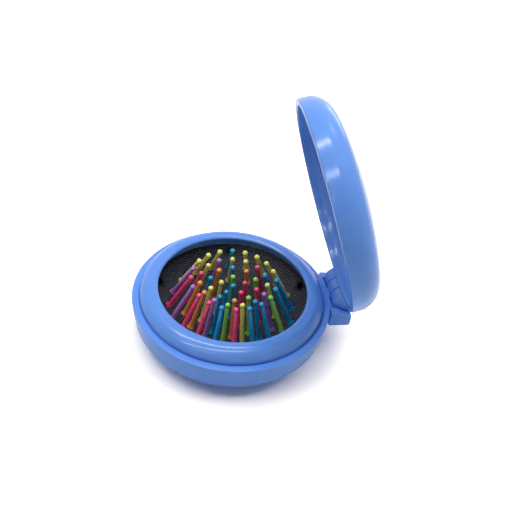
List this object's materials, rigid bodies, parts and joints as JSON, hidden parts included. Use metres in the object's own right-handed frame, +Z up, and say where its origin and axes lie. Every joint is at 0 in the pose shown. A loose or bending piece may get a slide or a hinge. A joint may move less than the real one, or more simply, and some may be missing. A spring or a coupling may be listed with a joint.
{
  "type": "folding hairbrush with mirror",
  "caption": "Round folding pocket hairbrush: a light-blue domed lid with a mirror opens on a three-knuckle hinge over a black rubber pad of coloured ball-tipped bristles.",
  "frame": {"origin": "on the brush axis in the plane of the base's standing ring, the bottom plane of the thumb opening", "axes": "+Z up out of the bristles, +X towards the hinge, +Y along the hinge axis"},
  "size_m": [0.0801, 0.07, 0.0878],
  "materials": {
    "housing_blue": "glossy moulded light-blue plastic",
    "pad_rubber": "matt black rubber with a fine dotted grain",
    "pin_steel": "plain drawn steel wire",
    "mirror_glass": "silvered glass",
    "tape_foam": "white double-sided foam tape",
    "nylon_yellow": "smooth yellow nylon",
    "nylon_blue": "smooth teal-blue nylon",
    "nylon_pink": "smooth hot-pink nylon",
    "nylon_violet": "smooth violet nylon",
    "nylon_orange": "smooth orange nylon",
    "nylon_green": "smooth green nylon"
  },
  "bodies": {
    "base": {"base_shell": "housing_blue", "bezel_ring": "housing_blue", "bristle_pad": "pad_rubber", "hinge_pin": "pin_steel", "bristle_01": "nylon_blue", "bristle_02": "nylon_pink", "bristle_03": "nylon_green", "bristle_04": "nylon_yellow", "bristle_05": "nylon_blue", "bristle_06": "nylon_pink", "bristle_07": "nylon_green", "bristle_08": "nylon_orange", "bristle_09": "nylon_blue", "bristle_10": "nylon_orange", "bristle_11": "nylon_blue", "bristle_12": "nylon_yellow", "bristle_13": "nylon_blue", "bristle_14": "nylon_orange", "bristle_15": "nylon_green", "bristle_16": "nylon_pink", "bristle_17": "nylon_blue", "bristle_18": "nylon_pink", "bristle_19": "nylon_yellow", "bristle_20": "nylon_yellow", "bristle_21": "nylon_violet", "bristle_22": "nylon_yellow", "bristle_23": "nylon_pink", "bristle_24": "nylon_orange", "bristle_25": "nylon_orange", "bristle_26": "nylon_violet", "bristle_27": "nylon_green", "bristle_28": "nylon_yellow", "bristle_29": "nylon_blue", "bristle_30": "nylon_violet", "bristle_31": "nylon_yellow", "bristle_32": "nylon_yellow", "bristle_33": "nylon_yellow", "bristle_34": "nylon_yellow", "bristle_35": "nylon_yellow", "bristle_36": "nylon_blue", "bristle_37": "nylon_yellow", "bristle_38": "nylon_yellow", "bristle_39": "nylon_yellow", "bristle_40": "nylon_violet", "bristle_41": "nylon_pink", "bristle_42": "nylon_violet", "bristle_43": "nylon_pink", "bristle_44": "nylon_pink", "bristle_45": "nylon_blue", "bristle_46": "nylon_pink", "bristle_47": "nylon_blue", "bristle_48": "nylon_blue", "bristle_49": "nylon_green", "bristle_50": "nylon_blue", "bristle_51": "nylon_blue"},
    "lid": {"lid_shell": "housing_blue", "mirror": "mirror_glass", "mirror_tape": "tape_foam"}
  },
  "joints": [
    {"name": "lid_hinge", "type": "hinge", "parent": "base", "child": "lid", "pos_m": [0.0398, 0, 0.01605], "axis": [0, 1, 0], "range_deg": [-70.8, 109.2]}
  ]
}
